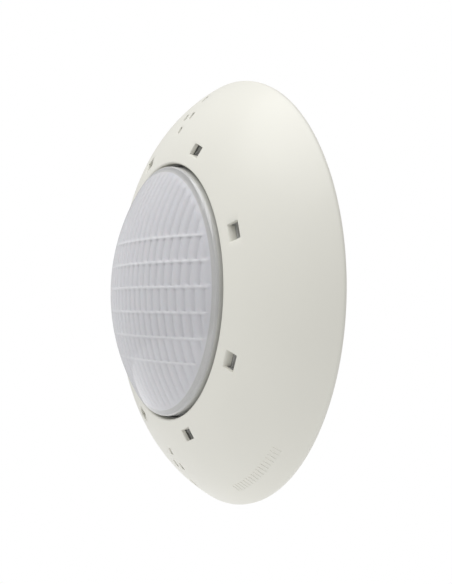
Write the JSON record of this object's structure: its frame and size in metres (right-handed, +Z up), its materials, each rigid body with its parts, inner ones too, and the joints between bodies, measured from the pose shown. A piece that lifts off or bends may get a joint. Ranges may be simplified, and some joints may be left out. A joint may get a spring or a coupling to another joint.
{
  "type": "underwater pool light",
  "caption": "Surface-mounted round underwater pool light: domed off-white cover with clip windows and vents, milky ribbed convex lens, sealed lamp body on a wall bracket.",
  "frame": {"origin": "centre of the wall bracket's back face, on the wall", "axes": "+Y into the wall, -Y the way the light shines, +Z up to 12 o'clock, +X right as seen from the front"},
  "size_m": [0.277, 0.0689, 0.277],
  "materials": {
    "cover": "satin",
    "ring": "satin",
    "lens": "gloss",
    "silicone": "matte",
    "reflector": "gloss",
    "white_board": "matte",
    "led": "gloss",
    "thermal_pad": "matte",
    "aluminium": "satin",
    "green_board": "satin",
    "brass": "satin",
    "steel": "satin",
    "chip": "matte",
    "capacitor": "satin",
    "ferrite": "matte",
    "copper": "gloss",
    "terminal": "satin",
    "lead_red": "satin",
    "lead_black": "satin",
    "housing": "satin",
    "gland": "satin",
    "black_rubber": "matte",
    "bracket": "satin"
  },
  "bodies": {
    "bracket": {"wall_bracket": "bracket", "bracket_inserts": "brass"},
    "lamp": {"clamp_ring": "ring", "clamp_screws": "steel", "clamp_inserts": "brass", "lens": "lens", "lens_gasket": "silicone", "reflector_plate": "reflector", "board_screws": "steel", "led_emitters": "led", "led_board": "white_board", "thermal_pad": "thermal_pad", "heat_sink": "aluminium", "heat_sink_screws": "steel", "driver_board": "green_board", "board_spacers": "brass", "driver_screws": "steel", "bridge_rectifier": "chip", "capacitors": "capacitor", "inductor_core": "ferrite", "inductor_winding": "copper", "driver_chips": "chip", "terminal_block": "terminal", "terminal_screws": "steel", "led_lead_positive": "lead_red", "led_lead_negative": "lead_black", "lamp_housing": "housing", "gland_washer": "black_rubber", "gland_body": "gland", "gland_lock_nut": "gland", "gland_seal": "black_rubber", "housing_screws": "steel", "screw_washers": "housing"},
    "cover": {"trim_cover": "cover"},
    "gland_ring": {"gland_slip_ring": "gland"},
    "gland_cap": {"gland_nut": "gland"}
  },
  "joints": [
    {"name": "lamp_slide", "type": "slide", "parent": "bracket", "child": "lamp", "axis": [0, -1, 0], "range_m": [0, 0.12]},
    {"name": "cover_slide", "type": "slide", "parent": "lamp", "child": "cover", "axis": [0, -1, 0], "range_m": [0, 0.07]},
    {"name": "gland_ring_slide", "type": "slide", "parent": "lamp", "child": "gland_ring", "axis": [-1, 0, 0], "range_m": [0, 0.0045]},
    {"name": "gland_nut_turn", "type": "hinge", "parent": "gland_ring", "child": "gland_cap", "pos_m": [-0.0975, -0.015, 0], "axis": [-1, 0, 0], "range_deg": [0, 1080]}
  ],
  "couplings": [
    {"joint": "gland_nut_turn", "follows": "gland_ring_slide", "rad_per_m": 4188.8}
  ]
}
